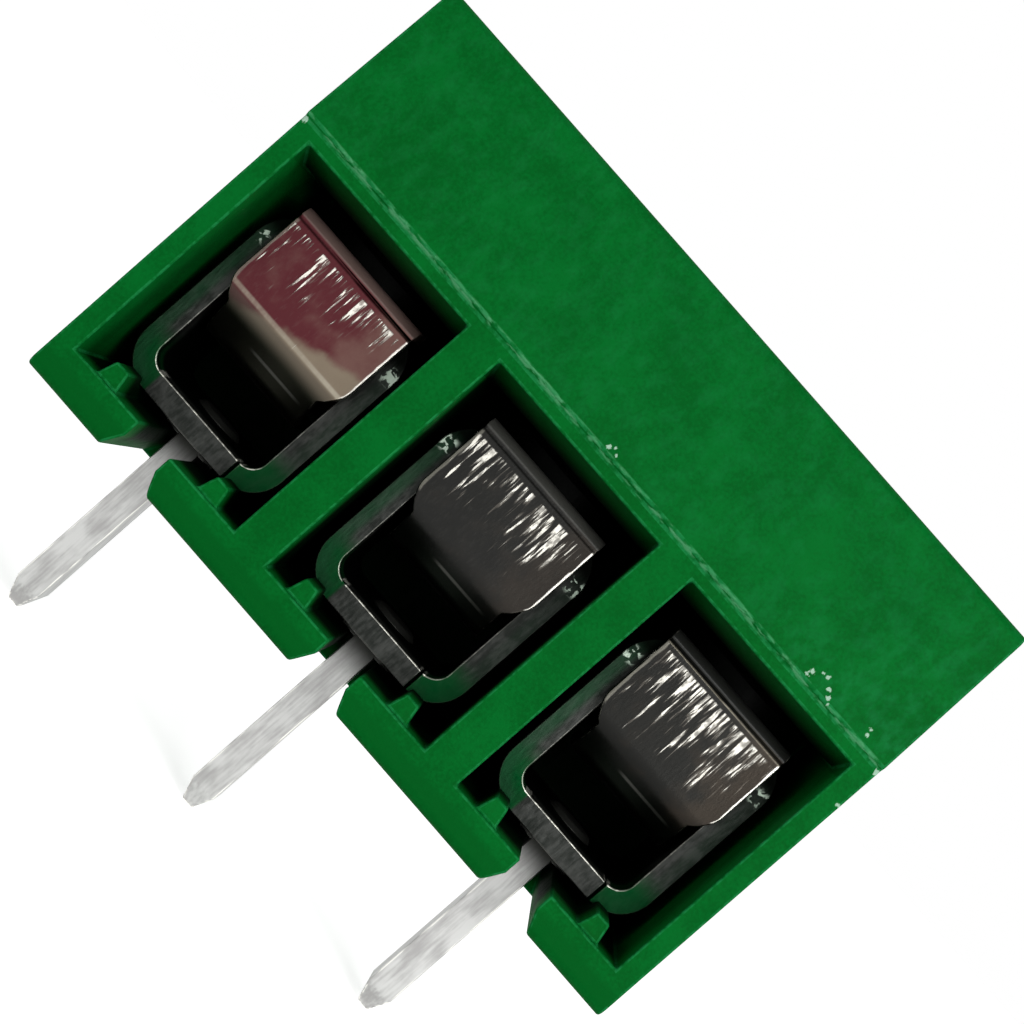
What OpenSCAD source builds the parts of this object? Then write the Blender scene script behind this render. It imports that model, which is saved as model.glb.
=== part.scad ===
// Three-pole screw terminal for circuit boards.
// X runs along the poles, Y runs from the wire side to the back, Z runs up from the board.
// The origin is under the middle screw, on the housing's underside.

/* [Housing] */
// Distance between neighbouring screws
pitch = 5.08; // [5:0.02:6]
// Height of the housing
body_h = 10; // [9.6:0.1:13]
// Depth of the housing, wire side to back
body_d = 8.1; // [7.8:0.1:10]
// Thickness of the wall between two chambers
divider_t = 0.84; // [0.7:0.02:1]
// Thickness of the bottom wall
bottom_t = 0.8; // [0.7:0.05:1.2]
// Height of the lintel strip over a wire entry
lintel_h = 0.26; // [0.2:0.02:0.5]
// How far the plain upper face stands in front of the lower one
brow_proud = 0.09; // [0.05:0.01:0.2]
// How far the plain upper face leans back over its height
brow_lean = 0.42; // [0.1:0.02:0.8]
// Rounding of the long outer edges
edge_r = 0.22; // [0.1:0.02:0.35]
// Radius of a screwdriver hole
hole_r = 2; // [1.98:0.02:2.15]

/* [Chamber] */
// Height of the ribs that carry a clamp frame
rib_h = 0.25; // [0.15:0.05:0.4]
// Width of a rib at its root
rib_w = 0.62; // [0.5:0.02:0.8]
// Distance of a rib from the middle of its pole
rib_x = 1.35; // [1.2:0.05:1.5]
// How far the front of a rib stands up to hold the clamp frame in
rib_stop = 0.15; // [0.05:0.01:0.2]
// Width of the slot that lets a solder pin in
slot_w = 0.82; // [0.76:0.02:1]
// Height of the flare at the foot of the slot
slot_flare = 0.45; // [0.2:0.05:0.6]
// Depth of the sloped lead-in over a wire entry
lead_d = 1.2; // [0.6:0.1:1.4]
// Rise of the sloped lead-in over a wire entry
lead_rise = 0.29; // [0.15:0.02:0.45]

/* [Back and ends] */
// Depth of the recesses in the back wall
pocket_d = 0.7; // [0.3:0.05:0.8]
// Width of the recesses in the back wall
pocket_w = 3.3; // [2.5:0.1:3.4]
// How far the joining rib stands out from the end
dovetail_h = 0.42; // [0.3:0.02:0.5]
// Width of the joining rib at its root
dovetail_w = 0.75; // [0.6:0.05:0.9]

/* [Clamp frame] */
// Outer width of the frame
frame_w = 3.78; // [3.7:0.02:3.9]
// Outer height of the frame
frame_h = 4.3; // [4.1:0.05:4.5]
// Width of the strip that the frame is bent from
frame_d = 4.5; // [4.3:0.1:4.8]
// Thickness of the strip
strip_t = 0.46; // [0.4:0.02:0.5]
// Outer radius of the frame's bends
bend_r = 0.8; // [0.7:0.05:0.9]
// Distance of the butt seam from the middle of the floor
seam_x = 1.08; // [0.9:0.02:1.2]
// Outer radius of the drawn collar that holds the thread
collar_r = 1.74; // [1.7:0.02:1.8]
// Height of the drawn collar over the frame
collar_h = 0.5; // [0.4:0.02:0.6]

/* [Wire guard] */
// Width of the guard over the frame
guard_w = 3.06; // [2.9:0.02:3.2]
// Width of the tongue under the screw
tongue_w = 2.44; // [2.2:0.02:2.6]
// Thickness of the spring strip
guard_t = 0.2; // [0.15:0.01:0.22]
// Length of the guard's face, from the frame's top to the first bend
face_l = 1.72; // [1.5:0.02:1.9]
// Length of the ramp under the face
ramp_l = 0.42; // [0.3:0.02:0.5]
// How far the tongue reaches behind the screw's axis
tongue_back = 1.3; // [1:0.1:1.6]

/* [Clamp screw] */
// Radius of the screw's shank
screw_r = 1.22; // [1.15:0.01:1.25]
// Length of the shank
screw_l = 4.8; // [4.6:0.1:5]
// Radius of the screw's head
head_r = 1.75; // [1.65:0.05:1.85]
// Height of the screw's head
head_h = 1.5; // [1.3:0.05:1.7]

/* [Solder pin] */
// Length of the pin below the housing
pin_l = 3.7; // [3:0.1:4.5]
// Width of the pin along the row of poles
pin_w = 0.6; // [0.5:0.02:0.7]
// Depth of the pin, front to back
pin_d = 0.9; // [0.7:0.05:1]

/* [Clearances] */
// Room between a running shank and its hole
run_gap = 0.05; // [0.03:0.01:0.08]
// Room between pieces that are pushed together
seat_gap = 0.02; // [0.01:0.005:0.04]
// Room around a clamp frame in its chamber
loose_gap = 0.12; // [0.08:0.02:0.2]

/* [Hidden] */
poles = 3;
$fn = 64;

body_w = poles * pitch;
front_y = -body_d / 2;
back_y = body_d / 2;
chamber_w = pitch - divider_t;
chamber_back = frame_d / 2 + loose_gap;
frame_z0 = bottom_t + rib_h;
frame_z1 = frame_z0 + frame_h;
floor_z = frame_z0 + strip_t;
ceiling_z = frame_z1 + collar_h + loose_gap;
entry_z = ceiling_z + lead_rise;
brow_z = entry_z + lintel_h;
bore_r = screw_r + run_gap;
cut = 1;

// Moves of the guard's strip: run, left turn, inner radius of that turn
fold_r = 0.1;
mid_r = 0.35;
toe_r = 0.38;
fold_turn = 87;
mid_turn = 41;
toe_turn = 180 - fold_turn - mid_turn;
arm_l = 1.25;
arc_steps = 8;

function dir(a) = [cos(a), sin(a)];
function reversed(list) = [for (k = [len(list) - 1:-1:0]) list[k]];
function arc(centre, r, from, to) =
    [for (k = [0:arc_steps]) centre + r * dir(from + (to - from) * k / arc_steps)];

// One face of a bent strip, `off` to the right of the line that is walked
function strip_face(moves, off, pos, head, k = 0) =
    k == len(moves) ? [] :
    let (run = moves[k][0], turn = moves[k][1], r = moves[k][2],
         end = pos + run * dir(head),
         side = off * dir(head - 90),
         hub = end + r * dir(head + 90))
    turn == 0 ? [pos + side, end + side] :
    concat([pos + side], arc(hub, r + off, head - 90, head - 90 + turn),
        strip_face(moves, off, hub + r * dir(head - 90 + turn), head + turn, k + 1));

function strip_end(moves, pos, head, k = 0) =
    k == len(moves) ? pos :
    let (r = moves[k][2], turn = moves[k][1],
         hub = pos + moves[k][0] * dir(head) + r * dir(head + 90))
    strip_end(moves, hub + r * dir(head - 90 + turn), head + turn, k + 1);

guard_bends = [[arm_l, fold_turn, fold_r], [face_l, mid_turn, mid_r], [ramp_l, toe_turn, toe_r]];
guard_start = [-frame_d / 2 + arm_l, frame_z1];
toe = strip_end(guard_bends, guard_start, 180);
guard_moves = concat(guard_bends, [[tongue_back - toe[0], 0, 0]]);
tongue_z = toe[1];
tip_z = tongue_z + seat_gap;

// Places its children at pole i, counted from 1
module at_pole(i) {
    translate([(i - (poles + 1) / 2) * pitch, 0, 0]) children();
}

// Stretches a drawing of Y and Z along X
module along_x(w) {
    rotate([90, 0, 90]) linear_extrude(w, center = true) children();
}

// Stretches a drawing of X and Z from y0 to y1
module along_y(y0, y1) {
    translate([0, y1, 0]) rotate([90, 0, 0]) linear_extrude(y1 - y0) children();
}

module rounded_rect(w, h, r) {
    square([w, h - 2 * r], center = true);
    square([w - 2 * r, h], center = true);
    for (x = [-1, 1], y = [-1, 1]) translate([x * (w / 2 - r), y * (h / 2 - r)]) circle(r);
}

// Side view of the housing: upright lower front, leaning brow, square back
module housing_side() {
    brow_y = front_y - brow_proud;
    polygon(concat(
        arc([front_y + edge_r, edge_r], edge_r, 270, 180),
        [[front_y, brow_z], [brow_y, brow_z + brow_proud]],
        arc([brow_y + brow_lean + edge_r, body_h - edge_r], edge_r, 180, 90),
        arc([back_y - edge_r, body_h - edge_r], edge_r, 90, 0),
        arc([back_y - edge_r, edge_r], edge_r, 0, -90)));
}

// Side view of a chamber, with the lead-in that slopes down over the wire entry
module chamber_side() {
    polygon([[front_y - cut, bottom_t], [chamber_back, bottom_t], [chamber_back, ceiling_z],
        [front_y + lead_d, ceiling_z], [front_y, entry_z], [front_y - cut, entry_z]]);
}

// Two ribs carry the clamp frame, and their raised fronts keep it from sliding out
module floor_ribs() {
    stop_z = frame_z0 + rib_stop;
    stop_y = -frame_d / 2 - loose_gap;
    root_z = bottom_t - strip_t / 2;
    for (x = [-rib_x, rib_x]) intersection() {
        translate([x, 0, 0]) along_y(front_y, chamber_back)
            polygon([[-rib_w / 2, root_z], [rib_w / 2, root_z], [rib_w / 4, stop_z], [-rib_w / 4, stop_z]]);
        along_x(2 * rib_x + rib_w)
            polygon([[front_y + edge_r / 2, root_z], [chamber_back, root_z], [chamber_back, frame_z0],
                [stop_y, frame_z0], [stop_y, stop_z], [front_y + edge_r, stop_z]]);
    }
}

// The pin slides in from the front, so its slot is open there and flared underneath
module pin_slot() {
    slot_back = pin_d / 2 + loose_gap;
    mouth_w = slot_w + slot_flare;
    along_y(front_y - cut, slot_back) polygon([[-mouth_w / 2, -cut], [mouth_w / 2, -cut],
        [mouth_w / 2, 0], [slot_w / 2, slot_flare], [slot_w / 2, bottom_t + cut],
        [-slot_w / 2, bottom_t + cut], [-slot_w / 2, slot_flare], [-mouth_w / 2, 0]]);
}

module screw_hole() {
    translate([0, 0, ceiling_z - cut]) cylinder(r = hole_r, h = body_h - ceiling_z + 2 * cut);
    translate([0, 0, body_h - edge_r]) cylinder(r1 = hole_r, r2 = hole_r + edge_r + cut, h = edge_r + cut);
}

// Recess that keeps the back wall even
module back_pocket() {
    margin = 1.2;
    translate([0, 0, body_h / 2]) along_y(back_y - pocket_d, back_y + cut)
        rounded_rect(pocket_w, body_h - 2 * margin, edge_r * 2);
}

// Plan of the rib that joins one block to the next; grow is the room around it
module dovetail_plan(grow) {
    root = dovetail_w / 2 + grow;
    wide = root + dovetail_h / 3;
    translate([0, (chamber_back + back_y) / 2])
        polygon([[dovetail_h / 3, -root], [dovetail_h / 3, root], [0, root],
            [-dovetail_h - grow, wide], [-dovetail_h - grow, -wide], [0, -root]]);
}

module housing() {
    dovetail_top = body_h * 0.7;
    color([0.03, 0.42, 0.16]) {
        difference() {
            union() {
                along_x(body_w) housing_side();
                translate([-body_w / 2, 0, 0]) linear_extrude(dovetail_top) dovetail_plan(0);
            }
            for (i = [1:poles]) at_pole(i) {
                along_x(chamber_w) chamber_side();
                pin_slot();
                screw_hole();
                back_pocket();
            }
            translate([body_w / 2, 0, -cut])
                linear_extrude(dovetail_top + cut + loose_gap) dovetail_plan(loose_gap / 2);
        }
        for (i = [1:poles]) at_pole(i) difference() {
            floor_ribs();
            pin_slot();
        }
    }
}

// One strip bent into a closed loop, with a butt seam, a drawn collar and a slot for the pin
module clamp_frame() {
    inner_w = frame_w - 2 * strip_t;
    inner_h = frame_h - 2 * strip_t;
    seam_w = 2 * seat_gap;
    color([0.36, 0.36, 0.37]) difference() {
        union() {
            translate([0, 0, (frame_z0 + frame_z1) / 2]) along_y(-frame_d / 2, frame_d / 2)
                rounded_rect(frame_w, frame_h, bend_r);
            translate([0, 0, frame_z1 - strip_t / 2]) cylinder(r = collar_r, h = strip_t / 2 + collar_h);
        }
        translate([0, 0, (frame_z0 + frame_z1) / 2]) along_y(-frame_d / 2 - cut, frame_d / 2 + cut)
            rounded_rect(inner_w, inner_h, bend_r - strip_t);
        translate([0, 0, frame_z1 - strip_t - cut]) cylinder(r = bore_r, h = strip_t + collar_h + 2 * cut);
        translate([seam_x, 0, frame_z0]) cube([seam_w, frame_d + cut, 3 * strip_t], center = true);
        translate([0, 0, frame_z0])
            cube([pin_w + 2 * seat_gap, pin_d + 2 * seat_gap, 3 * strip_t], center = true);
    }
}

// Front view of the guard: wide over the frame, rounded shoulders, narrow tongue
module guard_front() {
    shoulder_r = 0.55;
    shoulder_z = frame_z1 - face_l + 2.5 * fold_r;
    shoulder = arc([guard_w / 2 - shoulder_r, shoulder_z], shoulder_r, 0, -60);
    waist_z = shoulder_z - shoulder_r;
    right = concat([[guard_w / 2, frame_z1 + cut]], shoulder,
        [[tongue_w / 2, waist_z], [tongue_w / 2, floor_z]]);
    polygon(concat(right, reversed([for (p = right) [-p[0], p[1]]])));
}

// Plan of the guard: the tongue has a round end behind the screw
module guard_plan() {
    step_y = -frame_d / 2 + 2 * fold_r;
    round_y = tongue_back - tongue_w / 2;
    translate([-guard_w / 2, front_y]) square([guard_w, step_y + arm_l - front_y]);
    translate([-tongue_w / 2, front_y]) square([tongue_w, round_y - front_y]);
    translate([0, round_y]) circle(d = tongue_w);
}

// Spring strip hooked over the frame's front edge, with its tongue under the screw
module wire_guard() {
    face = strip_face(guard_moves, 0, guard_start, 180);
    rear = strip_face(guard_moves, guard_t, guard_start, 180);
    color([0.3, 0.29, 0.29]) difference() {
        intersection() {
            along_x(guard_w) polygon(concat(face, reversed(rear)));
            along_y(front_y, back_y) guard_front();
            linear_extrude(body_h) guard_plan();
        }
        translate([0, 0, frame_z1 - guard_t]) cylinder(r = collar_r + seat_gap * 3, h = 3 * guard_t);
    }
}

// Cheese-head screw; the recess takes a flat or a cross-head driver
module clamp_screw() {
    bevel = 0.25;
    head_z = tip_z + screw_l;
    top_z = head_z + head_h;
    recess = head_h * 0.55;
    slot = 0.5;
    color([0.72, 0.72, 0.7]) difference() {
        rotate_extrude() polygon([[0, tip_z], [screw_r - bevel, tip_z], [screw_r, tip_z + bevel],
            [screw_r, head_z], [head_r, head_z], [head_r, top_z - bevel], [head_r - bevel, top_z], [0, top_z]]);
        translate([-head_r - cut, -slot / 2, top_z - recess]) cube([2 * (head_r + cut), slot, recess + cut]);
        translate([-slot / 2, -head_r / 2, top_z - recess]) cube([slot, head_r, recess + cut]);
    }
}

// Flat pin: a shoulder under the frame's floor, a tenon through it and a riveted head on top
module solder_pin() {
    point = pin_w * 0.4;
    shoulder_w = slot_w + 2 * rib_h;
    rivet_r = norm([pin_w, pin_d]) / 2 + 2 * seat_gap;
    rivet_h = strip_t / 4;
    color([0.78, 0.78, 0.77]) {
        intersection() {
            along_y(-pin_d / 2, pin_d / 2) polygon([[-pin_w / 2, floor_z], [pin_w / 2, floor_z],
                [pin_w / 2, 2 * point - pin_l], [pin_w / 2 - point * 0.7, -pin_l],
                [point * 0.7 - pin_w / 2, -pin_l], [-pin_w / 2, 2 * point - pin_l]]);
            along_x(pin_w) polygon([[-pin_d / 2, floor_z], [pin_d / 2, floor_z],
                [pin_d / 2, 2 * point - pin_l], [pin_d / 2 - point, -pin_l],
                [point - pin_d / 2, -pin_l], [-pin_d / 2, 2 * point - pin_l]]);
        }
        translate([-shoulder_w / 2, -pin_d / 2, bottom_t + seat_gap])
            cube([shoulder_w, pin_d, rib_h - seat_gap]);
        translate([0, 0, floor_z]) cylinder(r1 = rivet_r, r2 = rivet_r - rivet_h, h = rivet_h);
    }
}

housing();
at_pole(1) clamp_frame();  // clamp_frame_1
at_pole(2) clamp_frame();  // clamp_frame_2
at_pole(3) clamp_frame();  // clamp_frame_3
at_pole(1) wire_guard();  // wire_guard_1
at_pole(2) wire_guard();  // wire_guard_2
at_pole(3) wire_guard();  // wire_guard_3
at_pole(1) clamp_screw();  // clamp_screw_1
at_pole(2) clamp_screw();  // clamp_screw_2
at_pole(3) clamp_screw();  // clamp_screw_3
at_pole(1) solder_pin();  // solder_pin_1
at_pole(2) solder_pin();  // solder_pin_2
at_pole(3) solder_pin();  // solder_pin_3
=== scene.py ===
"""Looks of a three-pole screw terminal: softened mouldings, bent strips, threads, finishes and light."""

import math

import bmesh
import bpy
from mathutils import Matrix, Vector


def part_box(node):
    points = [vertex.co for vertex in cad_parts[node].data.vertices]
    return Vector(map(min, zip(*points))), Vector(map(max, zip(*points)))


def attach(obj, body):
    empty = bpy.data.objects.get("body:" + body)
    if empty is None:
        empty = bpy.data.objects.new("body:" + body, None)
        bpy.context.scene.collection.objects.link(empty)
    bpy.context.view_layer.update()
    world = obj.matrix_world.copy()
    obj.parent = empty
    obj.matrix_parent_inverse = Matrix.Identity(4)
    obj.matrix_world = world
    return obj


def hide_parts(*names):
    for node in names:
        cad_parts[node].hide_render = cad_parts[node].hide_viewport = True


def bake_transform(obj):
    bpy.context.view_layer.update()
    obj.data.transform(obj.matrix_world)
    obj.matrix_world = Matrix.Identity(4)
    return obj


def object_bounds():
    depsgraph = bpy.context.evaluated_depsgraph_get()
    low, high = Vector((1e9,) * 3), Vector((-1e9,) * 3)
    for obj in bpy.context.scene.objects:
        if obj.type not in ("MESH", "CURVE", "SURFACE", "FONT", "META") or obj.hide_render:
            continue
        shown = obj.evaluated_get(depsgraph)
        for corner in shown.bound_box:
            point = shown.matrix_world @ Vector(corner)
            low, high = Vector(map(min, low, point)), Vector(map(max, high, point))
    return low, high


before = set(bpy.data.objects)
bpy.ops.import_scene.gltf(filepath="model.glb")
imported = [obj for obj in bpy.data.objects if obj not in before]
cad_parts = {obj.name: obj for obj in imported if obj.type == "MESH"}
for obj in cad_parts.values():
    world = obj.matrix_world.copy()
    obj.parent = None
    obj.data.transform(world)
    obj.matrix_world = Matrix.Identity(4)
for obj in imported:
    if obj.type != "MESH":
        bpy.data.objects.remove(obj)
cad_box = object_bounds()

MM = 0.001
POLES = (1, 2, 3)
ACROSS = Vector((1, 0, 0))
UPWARD = Vector((0, 0, 1))

body_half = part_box("housing")[1].x
frame_boxes = {pole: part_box(f"clamp_frame_{pole}") for pole in POLES}
guard_boxes = {pole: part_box(f"wire_guard_{pole}") for pole in POLES}
screw_boxes = {pole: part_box(f"clamp_screw_{pole}") for pole in POLES}
pole_x = {pole: (guard_boxes[pole][0].x + guard_boxes[pole][1].x) / 2 for pole in POLES}
pitch = pole_x[2] - pole_x[1]
front_y = -4.05 * MM
# Foot of the plain upper face
brow_z = 6.52 * MM
SHANK_L = 4.8 * MM
head_z = screw_boxes[2][0].z + SHANK_L
# Top of the clamp frames without their collars, and the outer radius of their bends
FRAME_TOP = 5.35 * MM
BEND_R = 0.8 * MM
# Chalky marks on the housing's front: place along X and Z, and radius, in mm
FLECKS = (
    (0.25, 6.72, 0.05), (0.36, 6.78, 0.04), (0.46, 6.70, 0.04),
    (5.50, 6.70, 0.05), (5.53, 6.80, 0.05), (5.66, 6.92, 0.04), (5.79, 6.93, 0.05),
    (5.95, 6.80, 0.05), (6.05, 6.70, 0.05), (6.14, 6.61, 0.04), (6.95, 6.88, 0.05), (6.98, 6.78, 0.05),
    (-7.57, 6.50, 0.07), (7.57, 6.48, 0.07), (7.58, 5.60, 0.05),
)

# ---------------------------------------------------------------- finishes


class Signal:
    """One number or colour of a finish. Arithmetic on it adds Math nodes."""

    def __init__(self, finish, socket):
        self.finish = finish
        self.socket = socket

    def _math(self, operation, first, second):
        return self.finish.node("ShaderNodeMath", {"operation": operation}, {0: first, 1: second})

    def __add__(self, other):
        return self._math("ADD", self, other)

    def __radd__(self, other):
        return self._math("ADD", other, self)

    def __sub__(self, other):
        return self._math("SUBTRACT", self, other)

    def __rsub__(self, other):
        return self._math("SUBTRACT", other, self)

    def __mul__(self, other):
        return self._math("MULTIPLY", self, other)

    def __rmul__(self, other):
        return self._math("MULTIPLY", other, self)


class Finish:
    """A material whose nodes are added one by one; place is the point on the object, in metres."""

    def __init__(self, name, **uniform):
        self.material = bpy.data.materials.new(name)
        self.material.use_nodes = True
        self.tree = self.material.node_tree
        self.shader = self.tree.nodes["Principled BSDF"]
        for socket, value in uniform.items():
            self.shader.inputs[socket.replace("_", " ")].default_value = value
        self.place = self.node("ShaderNodeTexCoord", {}, {}, "Object")

    def node(self, kind, settings, inputs, output=0):
        """Adds a node: its settings first, then the values or links of its sockets."""
        made = self.tree.nodes.new(kind)
        for key, value in settings.items():
            setattr(made, key, value)
        for key, value in inputs.items():
            self.feed(made.inputs[key], value)
        return Signal(self, made.outputs[output])

    def feed(self, socket, value):
        if isinstance(value, Signal):
            self.tree.links.new(value.socket, socket)
        else:
            socket.default_value = value

    def wear(self, **sockets):
        """Feeds what changes over the surface to the shader."""
        for socket, value in sockets.items():
            self.feed(self.shader.inputs[socket.replace("_", " ")], value)
        return self.material

    def along(self, axis):
        return self.node("ShaderNodeSeparateXYZ", {}, {"Vector": self.place}, axis)

    def grain(self, size, detail=2.0, stretch=(1, 1, 1), shift=(0, 0, 0), bend=0.0):
        """Noise whose grains are about size wide, drawn out by stretch along X, Y and Z."""
        scale = [1 / (size * s) for s in stretch]
        point = self.node(
            "ShaderNodeMapping", {}, {"Vector": self.place, "Location": shift, "Scale": scale}
        )
        return self.node(
            "ShaderNodeTexNoise", {}, {"Vector": point, "Scale": 1.0, "Detail": detail, "Distortion": bend}
        )

    def rise(self, value, low, high):
        """0 below low, 1 above high and smooth between; low over high makes it fall."""
        settings = {"interpolation_type": "SMOOTHSTEP"}
        if low > high:
            return 1 - self.rise(value, high, low)
        return self.node(
            "ShaderNodeMapRange", settings, {"Value": value, "From Min": low, "From Max": high}
        )

    def between(self, value, low, high, soft):
        """1 from low to high, and 0 beyond both, over soft."""
        return self.rise(value, low - soft, low) * self.rise(value, high + soft, high)

    def tint(self, factor, first, second):
        """Colour that goes from first to second as factor goes from 0 to 1."""
        return self.node("ShaderNodeMix", {"data_type": "RGBA"}, {0: factor, 6: first, 7: second}, 2)

    def painted(self, name):
        """A number that a piece's mesh carries on its points or faces."""
        return self.node("ShaderNodeAttribute", {"attribute_name": name}, {}, "Fac")

    def rim(self):
        """1 on the narrow faces along softened edges."""
        return self.painted("rim")

    def relief(self, height, depth):
        """Normal of a surface that height raises by up to depth."""
        return self.node(
            "ShaderNodeBump", {}, {"Height": height, "Distance": depth, "Strength": 1.0}
        )


def green_nylon():
    """Matt moulded nylon: even green, pale where worn, and black deep inside the chambers as painted
    shade.
    """
    deep = (0.0002, 0.088, 0.0105, 1)
    plain = (0.0005, 0.124, 0.0165, 1)
    wear_and_highlight = (0.012, 0.205, 0.058, 1)
    chalk = (0.45, 0.66, 0.52, 1)
    shade = (0.0, 0.0008, 0.0001, 1)
    f = Finish("green_nylon", Roughness=0.5, IOR=1.45, Specular_IOR_Level=0.03)
    x, y, z = f.along("X"), f.along("Y"), f.along("Z")
    cloud = f.grain(0.9 * MM, 4)
    speck = f.grain(0.07 * MM, 3)
    colour = f.tint(f.rise(cloud * 0.55 + speck * 0.45, 0.34, 0.64), deep, plain)
    # Painted shade: a darker band low on the front face, where its rounded lower edge turns away from the
    # light
    front = f.rise(y, front_y + 0.06 * MM, front_y + 0.02 * MM)
    colour = f.tint(front * f.between(z, 0.20 * MM, 0.42 * MM, 0.16 * MM) * 0.85, colour, deep)
    # Pale haze on the plain upper face, and a ragged pale line along its lower edge, partly worn flash and
    # partly a painted edge highlight
    brow = f.rise(z, brow_z, brow_z + 0.3 * MM) * f.rise(y, front_y + 0.8 * MM, front_y + 0.5 * MM)
    haze = f.rise(f.grain(0.25 * MM, 5, stretch=(1, 1, 1.6), shift=(3, 1, 7)), 0.42, 0.70)
    spread = 0.14 + 0.34 * f.rise(x - z, -4.0 * MM, 2.0 * MM)
    colour = f.tint(brow * haze * spread, colour, wear_and_highlight)
    ragged = f.rise(f.grain(0.13 * MM, 4, stretch=(2.4, 1, 0.7)), 0.44, 0.60)
    lip = f.between(z, brow_z + 0.03 * MM, brow_z + 0.10 * MM, 0.05 * MM)
    colour = f.tint(lip * ragged * 0.8, colour, (0.085, 0.34, 0.150, 1))
    # Paler softened edges: partly wear, partly a painted highlight
    worn = f.rise(f.grain(0.14 * MM, 4), 0.36, 0.62)
    colour = f.tint(f.rim() * (0.10 + 0.55 * worn), colour, wear_and_highlight)
    scratch = f.grain(0.10 * MM, 3, stretch=(0.8, 1, 1.3), bend=1.0)
    flat = f.node("ShaderNodeCombineXYZ", {}, {"X": x, "Z": z})
    for place_x, place_z, radius in FLECKS:
        centre = (place_x * MM, 0, place_z * MM)
        away = f.node("ShaderNodeVectorMath", {"operation": "DISTANCE"}, {0: flat, 1: centre}, "Value")
        near = f.rise(away + radius * 3 * MM * (scratch - 0.5), radius * MM, radius * 0.5 * MM)
        colour = f.tint(near * f.rise(y, front_y + 1.0 * MM, front_y + 0.5 * MM) * 0.7, colour, chalk)
    # Painted shade: black deep inside the chambers, less near the outer walls, and a darker lead-in slope
    # just inside the brow's lower edge (eaves)
    reach = body_half - 0.5 * MM
    across = 0.55 + 0.45 * f.between(x, -reach, reach, 0.06 * MM)
    across = across * f.between(x, -reach - 0.2 * MM, reach + 0.2 * MM, 0.1 * MM)
    inside = (
        across
        * f.rise(y, front_y + 0.10 * MM, front_y + 1.3 * MM)
        * f.between(z, 0.5 * MM, 7.6 * MM, 0.5 * MM)
        * f.rise(y, 3.1 * MM, 2.6 * MM)
    )
    eaves = (
        across
        * f.rise(y, front_y + 0.03 * MM, front_y + 0.10 * MM)
        * f.between(z, 5.9 * MM, 6.24 * MM, 0.02 * MM)
    )
    colour = f.tint(eaves * 0.55, colour, shade)
    colour = f.tint(inside * 0.97, colour, shade)
    height = f.grain(0.035 * MM, 2) * 0.5 + speck * 0.35 + cloud * 0.6
    return f.wear(
        Base_Color=colour,
        Roughness=0.46 + 0.16 * speck + 0.1 * haze,
        Normal=f.relief(height, 0.007 * MM),
    )


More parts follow.
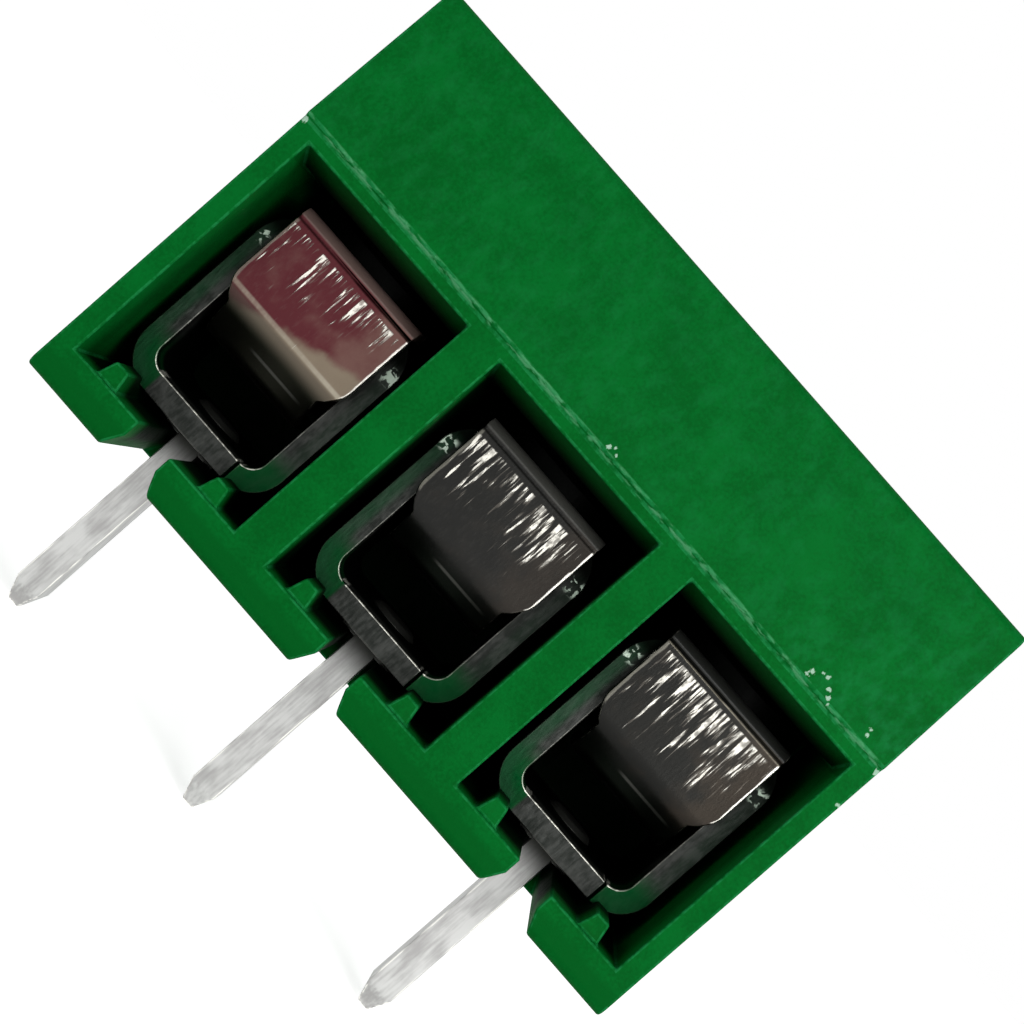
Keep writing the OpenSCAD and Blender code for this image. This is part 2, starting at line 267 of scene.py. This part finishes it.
def bent_steel():
    """Dull plated strip: grey with shear marks; painted green reflections at its lower bends, painted
    highlights on its edges, and painted black shade under the brow.
    """
    dull = (0.017, 0.019, 0.017, 1)
    pale = (0.044, 0.046, 0.043, 1)
    green_reflection = (0.001, 0.042, 0.010, 1)
    bright = (0.80, 0.79, 0.70, 1)
    painted_shade = (0.0006, 0.0008, 0.0006, 1)
    low, high = frame_boxes[2]
    half_w, half_h = (high.x - low.x) / 2, (FRAME_TOP - low.z) / 2
    f = Finish("bent_steel", Specular_IOR_Level=0.02)
    y, z = f.along("Y"), f.along("Z")
    beside = f.node(
        "ShaderNodeMath", {"operation": "WRAP"}, {0: f.along("X"), 1: pitch / 2, 2: -pitch / 2}
    )
    across = f.node("ShaderNodeMath", {"operation": "ABSOLUTE"}, {0: beside})
    above = f.node("ShaderNodeMath", {"operation": "ABSOLUTE"}, {0: z - (low.z + half_h)})
    past = {
        "X": f.node("ShaderNodeMath", {"operation": "MAXIMUM"}, {0: across - (half_w - BEND_R), 1: 0.0}),
        "Z": f.node("ShaderNodeMath", {"operation": "MAXIMUM"}, {0: above - (half_h - BEND_R), 1: 0.0}),
    }
    corner = f.node("ShaderNodeCombineXYZ", {}, past)
    # How deep a point lies under the strip's outer face
    depth = BEND_R - f.node("ShaderNodeVectorMath", {"operation": "LENGTH"}, {0: corner}, "Value")
    cloud = f.grain(0.3 * MM, 4)
    score = f.grain(0.06 * MM, 3, stretch=(1.0, 8, 4))
    colour = f.tint(f.rise(cloud * 0.55 + score * 0.45, 0.36, 0.64), dull, pale)
    # Painted reflection of the green housing: green on the lower bends, and on the outer face of the
    # strips, more on the left
    bends = f.rise(across, 1.02 * MM, 1.10 * MM) * f.rise(z, 2.35 * MM, 1.75 * MM)
    outer = f.rise(depth, 0.34 * MM, 0.16 * MM) * f.rise(across, 1.1 * MM, 1.3 * MM)
    left = f.rise(beside, 0.5 * MM, -0.5 * MM)
    colour = f.tint(bends * (0.65 + 0.5 * cloud), colour, green_reflection)
    colour = f.tint(outer * (0.15 + 0.5 * left), colour, (0.010, 0.044, 0.019, 1))
    # Painted highlights: bright lines with glints along the inner softened edges, strongest along the
    # floor, none at the seam
    inner = f.rise(depth, 0.25 * MM, 0.40 * MM)
    base = f.rise(z, 1.75 * MM, 1.62 * MM)
    glint = f.rise(f.grain(0.16 * MM, 3, shift=(1, 4, 2)), 0.48, 0.60)
    wear_and_highlight = 0.03 + inner * (0.03 + 0.16 * base + (0.08 + 0.30 * base) * glint)
    seam = f.between(across, 1.04 * MM, 1.12 * MM, 0.02 * MM)
    colour = f.tint(f.rim() * wear_and_highlight * (1 - seam), colour, bright)
    # Painted glints at both ends of the floor strip
    blot = f.grain(0.15 * MM, 3, shift=(5, 2, 3), bend=0.6)
    ends = f.between(across, 1.02 * MM, 1.14 * MM, 0.04 * MM)
    ends = ends * f.between(z, 1.50 * MM, 1.60 * MM, 0.03 * MM)
    colour = f.tint(ends * f.rise(blot, 0.42, 0.5), colour, bright)
    # Painted shadow: the strip turns black upward under the brow (shadow), and at its back (hidden), where
    # its metallic level also drops
    shadow = f.rise(z, 3.3 * MM, 4.4 * MM) * 0.35 + f.rise(z, 4.45 * MM, 4.95 * MM) * 0.65
    hidden = f.rise(y, low.y + 0.12 * MM, low.y + 0.9 * MM)
    colour = f.tint(shadow * 0.97, colour, painted_shade)
    # Painted glints near the tops of the side strips
    tops = f.between(z, 4.50 * MM, 4.68 * MM, 0.12 * MM) * f.rise(across, 1.55 * MM, 1.66 * MM)
    colour = f.tint(tops * f.rise(blot, 0.51, 0.58) * 0.9, colour, (0.38, 0.46, 0.38, 1))
    colour = f.tint(hidden, colour, painted_shade)
    return f.wear(
        Base_Color=colour,
        Metallic=(1 - hidden) * (1 - 0.9 * f.rise(z, 5.1 * MM, 5.3 * MM)),
        Roughness=0.32 + 0.25 * cloud,
        Normal=f.relief(score * 0.6 + cloud, 0.008 * MM),
    )


def guard_steel(pole):
    """Spring strip: bright drips under the crease of its nose, pale cut edges with a painted highlight on
    the right one, and painted dark shade below its knee.
    """
    looks = {
        1: ((0.080, 0.020, 0.024, 1), (0.120, 0.062, 0.054, 1), (0.150, 0.100, 0.088, 1), 0.540),
        2: ((0.019, 0.019, 0.018, 1), (0.027, 0.024, 0.021, 1), (0.058, 0.058, 0.052, 1), 0.518),
        3: ((0.015, 0.015, 0.014, 1), (0.026, 0.022, 0.018, 1), (0.018, 0.019, 0.017, 1), 0.490),
    }
    plain, warm, nose, least = looks[pole]
    bright = (0.74, 0.72, 0.66, 1)
    soft = (0.22, 0.20, 0.17, 1)
    tan = (0.185, 0.155, 0.112, 1)
    painted_shade = (0.0006, 0.0007, 0.0005, 1)
    top = guard_boxes[pole][1].z
    knee_z = top - 1.9 * MM
    f = Finish(f"guard_steel_{pole}", Specular_IOR_Level=0.3)
    x, y, z = f.along("X") - pole_x[pole], f.along("Y"), f.along("Z")
    side = f.painted("side")
    cloud = f.grain(0.5 * MM, 3)
    fine = f.grain(0.05 * MM, 3, stretch=(1, 1, 3))
    right = f.rise(x, 0.2 * MM, 1.4 * MM)
    colour = f.tint(f.rise(cloud + 0.5 * right, 0.50, 1.02), plain, warm)
    colour = f.tint(f.rise(fine, 0.5, 0.75) * 0.1, colour, nose)
    if pole == 1:
        patch = f.rise(z - 0.30 * x + 0.4 * MM * (cloud - 0.5), knee_z + 0.20 * MM, knee_z - 0.02 * MM)
        colour = f.tint(patch * 0.85, colour, tan)
        # Painted highlight along the knee's bend line, and painted shade just below it
        line = f.between(z, knee_z - 0.02 * MM, knee_z + 0.02 * MM, 0.05 * MM)
        colour = f.tint(line * (0.25 + 0.4 * right + 0.4 * fine), colour, (0.32, 0.29, 0.23, 1))
        under = f.rise(z, knee_z - 0.01 * MM, knee_z - 0.12 * MM)
        colour = f.tint(under * 0.6, colour, (0.05, 0.046, 0.038, 1))
    # Painted shade: the strip below its knee fades to black
    fade = knee_z - (0.06 if pole == 1 else 0.34) * MM
    colour = f.tint(f.rise(z, fade, fade - 0.36 * MM) * 0.9, colour, (0.004, 0.006, 0.004, 1))
    # Drips run down from one straight line, each thinner and rarer the lower it reaches
    start = top - 0.40 * MM
    below = (start - z) * 1000.0
    streak = f.grain(0.078 * MM, 2.5, stretch=(0.85, 1, 11), shift=(pole, 0, 0), bend=0.3)
    reach = f.grain(0.45 * MM, 1, stretch=(1, 1, 50), shift=(0, 0, pole))
    head = f.rise(z, start + 0.02 * MM, start - 0.01 * MM) * f.rise(z, start - 1.6 * MM, start - 1.3 * MM)
    amount = streak - 0.15 * below + 0.22 * (reach - 0.5) - 0.12 * f.rise(x, 1.05 * MM, 1.35 * MM)
    drip = head * f.rise(amount, least, least + 0.03)
    broken = f.rise(f.grain(0.11 * MM, 3, stretch=(0.7, 1, 1.6)), 0.38, 0.58)
    colour = f.tint(head * f.rise(amount, least - 0.06, least + 0.01) * 0.3, colour, soft)
    colour = f.tint(drip * (0.3 + 0.7 * broken), colour, bright)
    band = f.rise(z, top - 0.22 * MM, top - 0.17 * MM)
    colour = f.tint(band, colour, nose)
    if pole == 1:
        # Painted shade in the crease under the nose, mostly on the right
        foot = f.rise(z + 0.014 * x, top - 0.250 * MM, top - 0.240 * MM)
        crease = foot * f.rise(z, top - 0.215 * MM, top - 0.225 * MM)
        colour = f.tint(crease * f.rise(x, -0.9 * MM, -0.2 * MM), colour, painted_shade)
    if pole == 3:
        # Painted shade in the gap under the nose, and a painted highlight on the lip below it, stronger on
        # the left
        colour = f.tint(f.between(z, top - 0.255 * MM, top - 0.215 * MM, 0.01 * MM) * 0.9, colour, painted_shade)
        lit_lip = f.between(z, top - 0.295 * MM, top - 0.28 * MM, 0.015 * MM)
        lit_lip = lit_lip * (0.25 + 0.6 * f.rise(x, 0.6 * MM, -0.6 * MM))
        colour = f.tint(lit_lip, colour, (0.42, 0.38, 0.30, 1))
    # Cut edges: a painted highlight along the right one, a paler grey band along the left one, and paler
    # rims
    span = f.between(z, knee_z + 0.06 * MM, top - 0.34 * MM, 0.08 * MM)
    ragged = f.grain(0.10 * MM, 3, stretch=(1, 1, 3))
    lit = f.rise(side + 0.04 * (ragged - 0.5), 0.962, 0.976) * span
    colour = f.tint(lit * (0.6 + 0.5 * ragged), colour, bright)
    grey = f.rise(side + 0.05 * (ragged - 0.5), -0.945, -0.965) * span
    colour = f.tint(grey * (0.2 + 0.5 * ragged), colour, (0.26, 0.25, 0.21, 1))
    colour = f.tint(f.rim() * f.rise(ragged, 0.45, 0.65) * 0.3, colour, (0.42, 0.40, 0.34, 1))
    # Painted shade: black towards the back of the strip, with its metallic level lowered
    deep = f.rise(y, -2.10 * MM, -1.70 * MM) * f.rise(z, top - 0.15 * MM, top - 0.3 * MM)
    colour = f.tint(deep, colour, painted_shade)
    gleam = f.between(z, 3.02 * MM, 3.04 * MM, 0.03 * MM) * f.between(x, -0.1 * MM, 0.8 * MM, 0.3 * MM)
    colour = f.tint(gleam * 0.6, colour, (0.10, 0.10, 0.09, 1))
    return f.wear(
        Base_Color=colour,
        Metallic=1 - 0.75 * band - 0.9 * deep,
        Roughness=0.30 + 0.3 * drip + 0.12 * cloud,
        Normal=f.relief(fine * 0.3 + cloud * 0.5 + drip, 0.008 * MM),
    )


def bright_zinc():
    """Zinc-plated screw: pale, faintly clouded, with turning marks; its shank is painted dark as shade."""
    f = Finish("bright_zinc", Specular_IOR_Level=0.1)
    cloud = f.grain(0.3 * MM, 3)
    turned = f.grain(0.03 * MM, 2, stretch=(4, 4, 1))
    # Painted shade: the shank below the head is dark and less metallic
    head = f.rise(f.along("Z"), head_z - 0.9 * MM, head_z - 0.3 * MM)
    colour = f.tint(cloud, (0.36, 0.35, 0.32, 1), (0.56, 0.56, 0.55, 1))
    colour = f.tint(f.rim() * 0.5, colour, (0.72, 0.72, 0.70, 1))
    colour = f.tint(head, (0.012, 0.012, 0.011, 1), colour)
    return f.wear(
        Base_Color=colour,
        Metallic=0.3 + 0.7 * head,
        Roughness=0.22 + 0.22 * cloud,
        Normal=f.relief(turned + cloud * 0.5, 0.004 * MM),
    )


def dull_tin():
    """Tinned pin: soft grey, faintly streaked along it, bright along its edges."""
    f = Finish("dull_tin", Specular_IOR_Level=0.1)
    z = f.along("Z")
    cloud = f.grain(0.4 * MM, 4, stretch=(1, 1, 2))
    drawn = f.grain(0.05 * MM, 3, stretch=(1, 1, 12))
    mixed = f.rise(cloud * 0.65 + drawn * 0.35, 0.36, 0.62)
    colour = f.tint(mixed, (0.34, 0.335, 0.33, 1), (0.52, 0.52, 0.51, 1))
    colour = f.tint(f.rim() * f.rise(drawn, 0.4, 0.6), colour, (0.80, 0.79, 0.75, 1))
    # Painted shade: the pin goes dark where it runs up into the housing
    clear = f.rise(z, 0.9 * MM, 0.1 * MM)
    colour = f.tint(clear, (0.035, 0.036, 0.032, 1), colour)
    return f.wear(
        Base_Color=colour,
        Metallic=0.6 + 0.4 * clear,
        Roughness=0.32 + 0.2 * cloud,
        Normal=f.relief(drawn * 0.5 + cloud, 0.006 * MM),
    )


# ---------------------------------------------------------------- pieces

TINY = 0.0005 * MM
SHARP = math.radians(28)


def weigh_normals(mesh):
    """Lets the large faces decide the shading, so that they look flat between softened edges."""
    normals = [Vector() for _ in mesh.vertices]
    for face in mesh.polygons:
        for corner in face.vertices:
            normals[corner] += face.normal * face.area
    mesh.polygons.foreach_set("use_smooth", [True] * len(mesh.polygons))
    mesh.normals_split_custom_set_from_vertices([n.normalized() for n in normals])


def soften(form, width, segments):
    """Rounds every sharp edge and marks the new faces as rim."""
    rim = form.faces.layers.float.get("rim") or form.faces.layers.float.new("rim")
    edges = [e for e in form.edges if e.is_manifold and e.calc_face_angle(0) > SHARP]
    made = bmesh.ops.bevel(
        form, geom=edges, offset=width, offset_type="OFFSET", affect="EDGES",
        segments=segments, profile=0.5, material=-1, clamp_overlap=False,
    )
    for face in made["faces"]:
        face[rim] = 1.0


def cad_form(node):
    """A bmesh of a CAD node, its loose triangles joined and its flat faces made whole."""
    form = bmesh.new()
    form.from_mesh(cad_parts[node].data)
    bmesh.ops.remove_doubles(form, verts=form.verts, dist=TINY)
    bmesh.ops.dissolve_limit(form, angle_limit=math.radians(0.5), verts=form.verts, edges=form.edges)
    return form


def finish_piece(form, name, material, slot, *nodes):
    """Makes a bmesh a piece that stands for its CAD nodes."""
    mesh = bpy.data.meshes.new(name)
    form.to_mesh(mesh)
    form.free()
    weigh_normals(mesh)
    mesh.materials.append(material)
    piece = bpy.data.objects.new(name, mesh)
    bpy.context.scene.collection.objects.link(piece)
    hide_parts(*nodes)
    return piece


def mould_housing():
    form = cad_form("housing")
    soften(form, 0.045 * MM, 3)
    piece = finish_piece(form, "moulded_housing", green_nylon(), "green_nylon", "housing")
    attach(piece, "housing")


def bend_frames():
    steel = bent_steel()
    for pole in POLES:
        node = f"clamp_frame_{pole}"
        form = cad_form(node)
        soften(form, 0.030 * MM, 3)
        piece = finish_piece(form, f"bent_frame_{pole}", steel, "plated_steel", node)
        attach(piece, "housing")


def front_edges(made):
    return [e for e in made if isinstance(e, bmesh.types.BMEdge)]


def run(form, edges, step, times):
    """Carries the strip's leading edge straight on, a row at a time."""
    for _ in range(times):
        made = bmesh.ops.extrude_edge_only(form, edges=edges)["geom"]
        edges = front_edges(made)
        corners = {v for e in edges for v in e.verts}
        bmesh.ops.translate(form, vec=step, verts=list(corners))
    return edges


def turn(form, edges, hub, angle, times):
    """Carries the strip's leading edge round a bend."""
    made = bmesh.ops.spin(
        form, geom=edges, cent=hub, axis=ACROSS, angle=angle, steps=times, use_duplicate=False
    )
    return front_edges(made["geom_last"])


def heading(angle):
    return Vector((0, math.cos(angle), math.sin(angle)))


# Strip of a wire guard: its thickness and widths, then each straight run with the bend after it
GUARD_T = 0.2 * MM
FACE_HALF = 1.53 * MM
TONGUE_HALF = 1.22 * MM
GUARD_RUNS = (
    (1.25 * MM, 8, math.radians(87), 0.1 * MM, 10),
    (1.72 * MM, 36, math.radians(41), 0.35 * MM, 10),
    (0.42 * MM, 6, math.radians(52), 0.38 * MM, 10),
)
SHOULDER_R = 0.55 * MM
SHOULDER_DROP = 1.47 * MM
# Radius that the strip keeps clear for a frame's collar
COLLAR_R = 1.80 * MM
# Crease under the nose: its drop from the top, half height and depth
CREASE_DROP = 0.235 * MM
CREASE_HALF = 0.022 * MM
CREASE_DEPTH = 0.045 * MM


def guard_half(point, top, back):
    """Half the strip's width at a point: full over the frame, round shoulders, tongue with a round end."""
    drop = top - GUARD_T - SHOULDER_DROP - point.z
    if drop < 0:
        return FACE_HALF
    past = max(point.y - (back - TONGUE_HALF), 0)
    tongue = math.sqrt(max(TONGUE_HALF**2 - past**2, 0.0004 * TONGUE_HALF**2))
    if drop > SHOULDER_R:
        return tongue
    return max(tongue, FACE_HALF - SHOULDER_R + math.sqrt(SHOULDER_R**2 - drop**2))


def bend_guards():
    """Sprung strips hooked over the frames' front edges, with a coined crease under the nose."""
    for pole in POLES:
        low, high = guard_boxes[pole]
        front = frame_boxes[pole][0].y
        middle = Vector((pole_x[pole], 0, 0))
        form = bmesh.new()
        place = Vector((0, front + GUARD_RUNS[0][0], high.z - GUARD_T))
        columns = 48
        bmesh.ops.create_grid(form, x_segments=columns, y_segments=1, size=FACE_HALF)
        lip = [v for v in form.verts if v.co.y > 0]
        bmesh.ops.delete(form, geom=lip, context="VERTS")
        bmesh.ops.translate(form, vec=place - Vector((0, form.verts[:][0].co.y, 0)), verts=form.verts)
        edges = form.edges[:]
        angle = math.pi
        for length, rows, bend, radius, steps in GUARD_RUNS:
            edges = run(form, edges, heading(angle) * length / rows, rows)
            side = edges[0].verts[0].co.copy()
            side.x = 0
            hub = side + heading(angle + math.pi / 2) * radius
            edges = turn(form, edges, hub, bend, steps)
            angle += bend
        reach = high.y - edges[0].verts[0].co.y
        edges = run(form, edges, heading(angle) * reach / 24, 24)
        bmesh.ops.recalc_face_normals(form, faces=form.faces)
        for v in form.verts:
            wide = v.co.x / FACE_HALF
            v.co.x = wide * guard_half(v.co, high.z, high.y)
            if v.co.z > high.z - GUARD_T - TINY and v.co.y > front + 0.1 * MM:
                v.co.y = min(v.co.y, -math.sqrt(max(COLLAR_R**2 - v.co.x**2, 0)))
        bmesh.ops.solidify(form, geom=form.faces[:], thickness=-GUARD_T)
        bmesh.ops.recalc_face_normals(form, faces=form.faces)
        crease_z = high.z - CREASE_DROP
        for v in form.verts:
            if v.co.y < front - 0.05 * MM and v.co.z > crease_z - 0.3 * MM:
                dent = math.exp(-(((v.co.z - crease_z) / CREASE_HALF) ** 2))
                v.co.y += dent * CREASE_DEPTH * (1.25 if v.co.x * (2 - pole) > 0 else 0.8)
        soften(form, 0.022 * MM, 2)
        side = form.verts.layers.float.new("side")
        for v in form.verts:
            v[side] = v.co.x / guard_half(v.co, high.z, high.y)
        bmesh.ops.translate(form, vec=middle, verts=form.verts)
        piece = finish_piece(
            form, f"sprung_guard_{pole}", guard_steel(pole), "spring_steel", f"wire_guard_{pole}"
        )
        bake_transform(piece)


def cut_screws():
    """Cheese heads from the CAD solid, over shanks with a real helical thread."""
    zinc = bright_zinc()
    crest = 1.22 * MM
    root = 0.98 * MM
    thread_rise = 0.45 * MM
    steps = 32
    for pole in POLES:
        node = f"clamp_screw_{pole}"
        low, high = screw_boxes[pole]
        middle = Vector((pole_x[pole], 0, 0))
        form = cad_form(node)
        everything = form.verts[:] + form.edges[:] + form.faces[:]
        bmesh.ops.bisect_plane(
            form, geom=everything, dist=TINY,
            plane_co=(0, 0, head_z + 0.02 * MM), plane_no=UPWARD, clear_inner=True,
        )
        bmesh.ops.holes_fill(form, edges=[e for e in form.edges if e.is_boundary])
        soften(form, 0.05 * MM, 2)
        shank = bmesh.new()
        start = low.z - thread_rise
        profile = ((root, 0.0), (crest, 0.40), (crest, 0.52), (root, 0.92), (root, 1.0))
        corners = [shank.verts.new((r, 0, start + h * thread_rise)) for r, h in profile]
        edges = [shank.edges.new(pair) for pair in zip(corners, corners[1:])]
        turns = math.ceil((head_z - start) / thread_rise) + 1
        bmesh.ops.spin(
            shank, geom=corners + edges, cent=(0, 0, 0), axis=UPWARD, angle=2 * math.pi * turns,
            dvec=UPWARD * thread_rise / steps, steps=steps * turns, use_duplicate=False,
        )
        bmesh.ops.remove_doubles(shank, verts=shank.verts, dist=TINY)
        for level, normal in ((low.z, -UPWARD), (head_z, UPWARD)):
            everything = shank.verts[:] + shank.edges[:] + shank.faces[:]
            bmesh.ops.bisect_plane(
                shank, geom=everything, dist=TINY,
                plane_co=UPWARD * level, plane_no=normal, clear_outer=True,
            )
        bmesh.ops.holes_fill(shank, edges=[e for e in shank.edges if e.is_boundary])
        for v in shank.verts:
            reach = math.hypot(v.co.x, v.co.y)
            limit = crest - 0.25 * MM + (v.co.z - low.z)
            if reach > limit:
                v.co.x *= limit / reach
                v.co.y *= limit / reach
        bmesh.ops.recalc_face_normals(shank, faces=shank.faces)
        bmesh.ops.translate(shank, vec=middle, verts=shank.verts)
        thread = bpy.data.meshes.new("thread")
        shank.to_mesh(thread)
        shank.free()
        form.from_mesh(thread)
        piece = finish_piece(form, f"threaded_screw_{pole}", zinc, "zinc_steel", node)
        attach(piece, node)


def shape_pins():
    tin = dull_tin()
    for pole in POLES:
        node = f"solder_pin_{pole}"
        form = cad_form(node)
        soften(form, 0.03 * MM, 2)
        piece = finish_piece(form, f"tinned_pin_{pole}", tin, "tinned_brass", node)
        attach(piece, "housing")


# ---------------------------------------------------------------- camera, floor and lamps


def aim_camera(target, distance, tilt, swing, roll, lens):
    """Looks along +Y at target; tilt lowers the view, swing turns it left, roll turns the picture."""
    facing = Matrix.Rotation(swing, 3, "Z") @ Matrix.Rotation(-tilt, 3, "X")
    ahead = facing @ Vector((0, 1, 0))
    across = facing @ ACROSS
    upright = across.cross(ahead)
    right = across * math.cos(roll) + upright * math.sin(roll)
    up = upright * math.cos(roll) - across * math.sin(roll)
    camera = bpy.data.objects.new("camera", bpy.data.cameras.new("camera"))
    bpy.context.scene.collection.objects.link(camera)
    camera.matrix_world = Matrix.Translation(target - ahead * distance) @ Matrix(
        (right, up, -ahead)
    ).transposed().to_4x4()
    camera.data.lens = lens
    camera.data.clip_start = distance / 100
    camera.data.clip_end = distance * 200
    bpy.context.scene.camera = camera


# Rays that show the surroundings, straight or in gloss or glass
SHOWING_RAYS = ("Is Camera Ray", "Is Glossy Ray", "Is Transmission Ray")


def seen_directly(finish):
    """1 for what the camera sees, straight or in gloss or glass, and 0 for light on the object."""
    camera, glossy, transmitted = (
        finish.node("ShaderNodeLightPath", {}, {}, ray) for ray in SHOWING_RAYS
    )
    return camera + glossy + transmitted


def lay_floor(height):
    """A white floor far larger than the object, which still takes its shadow."""
    form = bmesh.new()
    bmesh.ops.create_grid(form, x_segments=1, y_segments=1, size=2)
    bmesh.ops.translate(form, vec=UPWARD * height, verts=form.verts)
    mesh = bpy.data.meshes.new("floor")
    form.to_mesh(mesh)
    form.free()
    paper = Finish(
        "floor_paper", Base_Color=(0.85, 0.85, 0.85, 1), Roughness=0.9, Emission_Color=(1, 1, 1, 1)
    )
    paper.feed(paper.shader.inputs["Emission Strength"], seen_directly(paper) * 0.75)
    mesh.materials.append(paper.material)
    floor = bpy.data.objects.new("floor", mesh)
    bpy.context.scene.collection.objects.link(floor)


def hang_lamp(name, place, size, watts, aim):
    """A soft square lamp at place, facing aim."""
    lamp = bpy.data.lights.new(name, "AREA")
    lamp.size = size
    lamp.energy = watts
    holder = bpy.data.objects.new(name, lamp)
    bpy.context.scene.collection.objects.link(holder)
    holder.location = place
    holder.rotation_euler = (aim - place).to_track_quat("-Z", "Y").to_euler()


def surround(ambient):
    """White where it is seen, and a weaker light on the object."""
    world = bpy.data.worlds.new("surroundings")
    bpy.context.scene.world = world
    world.use_nodes = True
    tree = world.node_tree
    path = tree.nodes.new("ShaderNodeLightPath")
    seen = path.outputs[SHOWING_RAYS[0]]
    for ray in SHOWING_RAYS[1:]:
        either = tree.nodes.new("ShaderNodeMath")
        either.operation = "MAXIMUM"
        tree.links.new(seen, either.inputs[0])
        tree.links.new(path.outputs[ray], either.inputs[1])
        seen = either.outputs[0]
    level = tree.nodes.new("ShaderNodeMapRange")
    level.inputs["To Min"].default_value = ambient
    tree.links.new(seen, level.inputs["Value"])
    background = tree.nodes["Background"]
    background.inputs["Color"].default_value = (1, 1, 1, 1)
    tree.links.new(level.outputs[0], background.inputs["Strength"])


mould_housing()
bend_frames()
bend_guards()
cut_screws()
shape_pins()

front_centre = Vector((0, front_y, 4.687 * MM))
aim_camera(
    front_centre, distance=44.8 * MM, tilt=math.radians(1.23), swing=math.radians(1.23),
    roll=math.radians(48.8), lens=90.2,
)
lay_floor(cad_box[0].z)
key_place = front_centre + Vector((34, -62, 24)) * MM
fill_place = front_centre + Vector((-60, -60, 10)) * MM
hang_lamp("key", key_place, size=40 * MM, watts=0.044, aim=front_centre)
hang_lamp("fill", fill_place, size=60 * MM, watts=0.012, aim=front_centre)
surround(ambient=0.3)
bpy.context.scene.view_settings.view_transform = "Standard"
